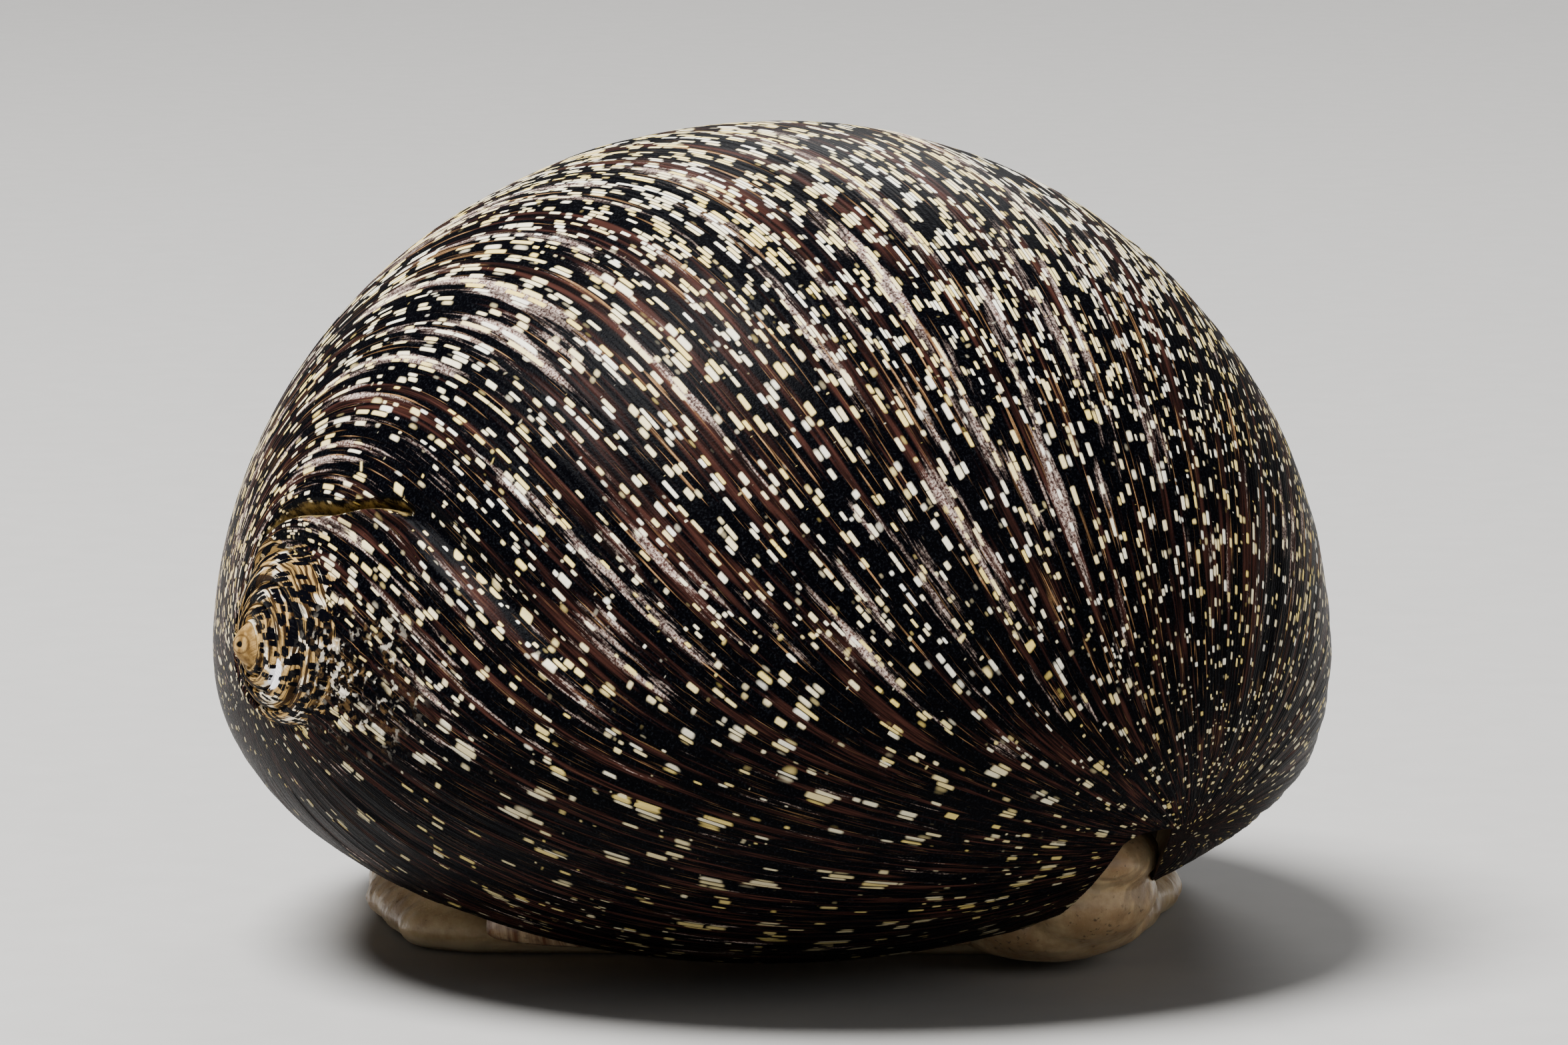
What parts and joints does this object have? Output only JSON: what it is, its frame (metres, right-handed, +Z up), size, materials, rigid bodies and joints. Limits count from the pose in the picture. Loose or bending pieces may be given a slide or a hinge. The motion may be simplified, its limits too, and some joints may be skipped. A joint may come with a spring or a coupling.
{
  "type": "nerite snail",
  "caption": "Life-size still nerite snail with a round flecked shell, its foot flat on the floor and its head and feelers out under the front lip.",
  "frame": {"origin": "middle of the foot's flat sole, at floor level", "axes": "+Z up, +Y the way the snail faces, +X to its right side; the shell's apex is at the rear on the -X side"},
  "size_m": [0.0197, 0.028, 0.0146],
  "materials": {
    "shell": "satin",
    "deck": "satin",
    "operculum": "satin",
    "flesh": "satin",
    "eye": "gloss"
  },
  "bodies": {
    "root": {"shell_body_whorl": "shell", "shell_outer_lip": "shell", "shell_penultimate_whorl": "shell", "shell_apex": "shell", "shell_columella_deck": "deck", "operculum": "operculum", "mantle": "flesh", "mantle_fold": "flesh", "foot": "flesh", "head": "flesh", "snout": "flesh", "tentacle_left_base": "flesh", "tentacle_left_tip": "flesh", "tentacle_right_base": "flesh", "tentacle_right_tip": "flesh", "eye_stalk_left": "flesh", "eye_stalk_right": "flesh", "eye_left": "eye", "eye_right": "eye"}
  },
  "joints": []
}
